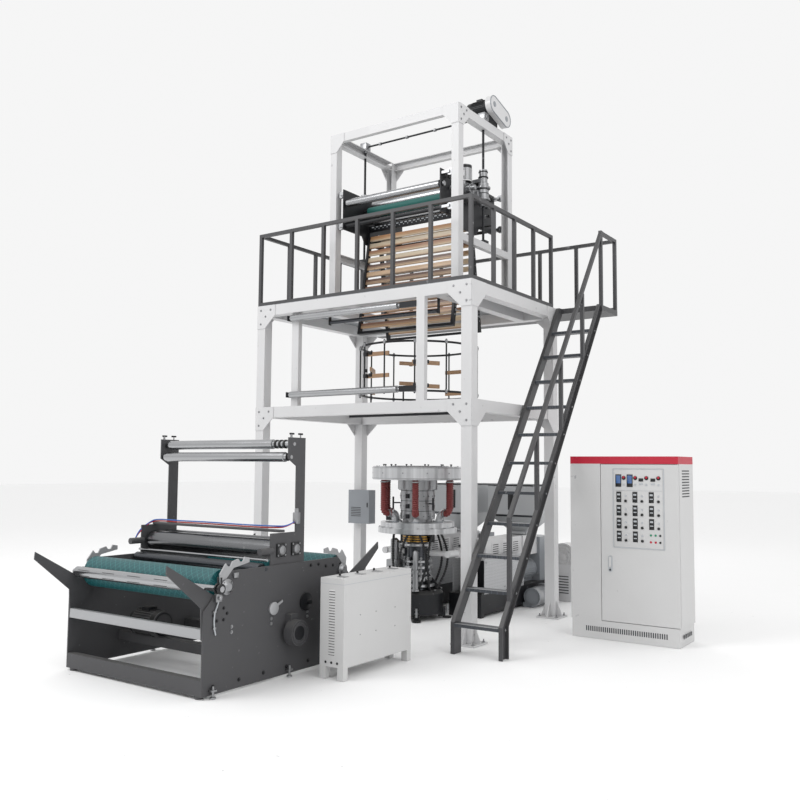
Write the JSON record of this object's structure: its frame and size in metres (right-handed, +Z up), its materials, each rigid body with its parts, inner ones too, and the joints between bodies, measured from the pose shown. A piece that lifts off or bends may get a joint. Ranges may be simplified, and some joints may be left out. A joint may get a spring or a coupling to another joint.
{
  "type": "blown film extrusion machine",
  "caption": "Blown film line: parallel extruders feed a turning die with air ring, bubble cage and haul-off tower with deck and stair, plus winder and control cabinets.",
  "frame": {"origin": "on the die axis at floor level, the centre of the die stand's anchor circle", "axes": "+X along the rollers to the right seen from the winder, +Y from the winder to the extruders, +Z up"},
  "size_m": [4.685, 6.615, 5.95],
  "materials": {
    "white_frame": "satin light grey white paint",
    "deck_plate": "painted steel sheet",
    "dark_rail": "satin dark grey paint",
    "black_steel": "satin black paint",
    "polished_roller": "polished, lightly brushed",
    "dark_roller": "smooth dark rubber",
    "green_rubber": "green rubber, scored in a diamond pattern on the drums",
    "bare_steel": "machined steel",
    "slat_wood": "varnished hardwood",
    "turned_aluminium": "turned aluminium",
    "hose_cloth": "ribbed dark red hose",
    "grey_housing": "semi gloss grey paint",
    "white_housing": "semi gloss white paint",
    "winder_grey": "fine textured dark grey paint",
    "cabinet_paint": "powder coated light grey",
    "tread_plate": "raised diamond tread plate",
    "light_levers": "satin light grey paint",
    "red_band": "glossy red paint"
  },
  "bodies": {
    "root": {"tower_posts": "white_frame", "middle_beams": "white_frame", "deck_beams": "white_frame", "knee_plates": "white_frame", "middle_posts": "white_frame", "upper_frame": "white_frame", "chain_guard": "white_frame", "deck_plates": "deck_plate", "railing_front": "dark_rail", "railing_sides": "dark_rail", "landing_railing": "dark_rail", "stair_frame": "dark_rail", "stair_treads": "dark_rail", "lift_screws": "black_steel", "lift_drive": "black_steel", "roller_brackets": "black_steel", "cage_frame": "black_steel", "die_stand": "black_steel", "extruder_beds": "black_steel", "drum_levers": "light_levers", "die_head": "bare_steel", "die_core": "bare_steel", "cage_arms": "slat_wood", "air_ring": "turned_aluminium", "rotating_flange": "turned_aluminium", "air_hoses": "hose_cloth", "hoppers": "grey_housing", "extruder_drives": "grey_housing", "junction_box": "grey_housing", "barrel_guards": "tread_plate", "extruder_barrels": "white_housing", "cooling_blower": "white_housing", "winder_sides": "winder_grey", "winder_beams": "winder_grey", "reel_arms": "winder_grey", "winder_masts": "winder_grey", "winder_drives": "winder_grey", "control_cabinet": "cabinet_paint", "supply_cabinet": "cabinet_paint", "cabinet_cap": "red_band"},
    "haul_off": {"nip_frame": "black_steel", "nip_carriage": "bare_steel", "nip_drive": "bare_steel", "board_rails": "black_steel", "board_slats": "slat_wood"},
    "steel_roll": {"nip_steel_roller": "polished_roller"},
    "rubber_roll": {"nip_rubber_roller": "green_rubber"},
    "haul_guide": {"haul_off_guide_roller": "polished_roller"},
    "front_high_roll": {"front_upper_roller": "polished_roller"},
    "front_low_roll": {"front_lower_roller": "polished_roller"},
    "deck_roll": {"deck_roller": "dark_roller"},
    "front_drum": {"winding_drum_front": "green_rubber"},
    "back_drum": {"winding_drum_back": "green_rubber"},
    "spreader_roll": {"spreader_roller": "polished_roller"},
    "winder_nip_front_roll": {"winder_nip_front": "polished_roller"},
    "winder_nip_back_roll": {"winder_nip_back": "dark_roller"},
    "mast_high_roll": {"mast_roller_high": "polished_roller"},
    "mast_low_roll": {"mast_roller_low": "polished_roller"},
    "reel": {"reel_shaft": "polished_roller"},
    "door": {"control_door": "cabinet_paint"}
  },
  "joints": [
    {"name": "haul_off_lift", "type": "slide", "parent": "root", "child": "haul_off", "axis": [0, 0, 1], "range_m": [-0.12, 0.12]},
    {"name": "steel_roll_turn", "type": "hinge", "parent": "haul_off", "child": "steel_roll", "pos_m": [0, -0.0755, 4.88], "axis": [1, 0, 0], "continuous": true},
    {"name": "rubber_roll_turn", "type": "hinge", "parent": "haul_off", "child": "rubber_roll", "pos_m": [0, 0.0805, 4.88], "axis": [1, 0, 0], "continuous": true},
    {"name": "haul_guide_turn", "type": "hinge", "parent": "haul_off", "child": "haul_guide", "pos_m": [0, -0.56, 4.81], "axis": [1, 0, 0], "continuous": true},
    {"name": "front_high_turn", "type": "hinge", "parent": "root", "child": "front_high_roll", "pos_m": [0, -1.005, 3.415], "axis": [1, 0, 0], "continuous": true},
    {"name": "front_low_turn", "type": "hinge", "parent": "root", "child": "front_low_roll", "pos_m": [0, -1.005, 2.53], "axis": [1, 0, 0], "continuous": true},
    {"name": "deck_roll_turn", "type": "hinge", "parent": "root", "child": "deck_roll", "pos_m": [0, -0.74, 3.37], "axis": [1, 0, 0], "continuous": true},
    {"name": "front_drum_turn", "type": "hinge", "parent": "root", "child": "front_drum", "pos_m": [0, -3.665, 0.8], "axis": [1, 0, 0], "continuous": true},
    {"name": "back_drum_turn", "type": "hinge", "parent": "root", "child": "back_drum", "pos_m": [0, -2.255, 0.8], "axis": [1, 0, 0], "continuous": true},
    {"name": "spreader_turn", "type": "hinge", "parent": "root", "child": "spreader_roll", "pos_m": [0, -3.23, 0.89], "axis": [1, 0, 0], "continuous": true},
    {"name": "winder_nip_front_turn", "type": "hinge", "parent": "root", "child": "winder_nip_front_roll", "pos_m": [0, -3.049, 1.03], "axis": [1, 0, 0], "continuous": true},
    {"name": "winder_nip_back_turn", "type": "hinge", "parent": "root", "child": "winder_nip_back_roll", "pos_m": [0, -2.871, 1.03], "axis": [1, 0, 0], "continuous": true},
    {"name": "mast_high_turn", "type": "hinge", "parent": "root", "child": "mast_high_roll", "pos_m": [0, -2.9, 1.905], "axis": [1, 0, 0], "continuous": true},
    {"name": "mast_low_turn", "type": "hinge", "parent": "root", "child": "mast_low_roll", "pos_m": [0, -2.935, 1.795], "axis": [1, 0, 0], "continuous": true},
    {"name": "reel_turn", "type": "hinge", "parent": "root", "child": "reel", "pos_m": [0, -3.852, 0.81459], "axis": [1, 0, 0], "continuous": true},
    {"name": "cabinet_door_swing", "type": "hinge", "parent": "root", "child": "door", "pos_m": [2.982, 0.071, 0.95], "axis": [0, 0, 1], "range_deg": [0, 110]}
  ],
  "couplings": [
    {"joint": "rubber_roll_turn", "follows": "steel_roll_turn", "ratio": -0.9375},
    {"joint": "winder_nip_back_turn", "follows": "winder_nip_front_turn", "ratio": -1}
  ]
}
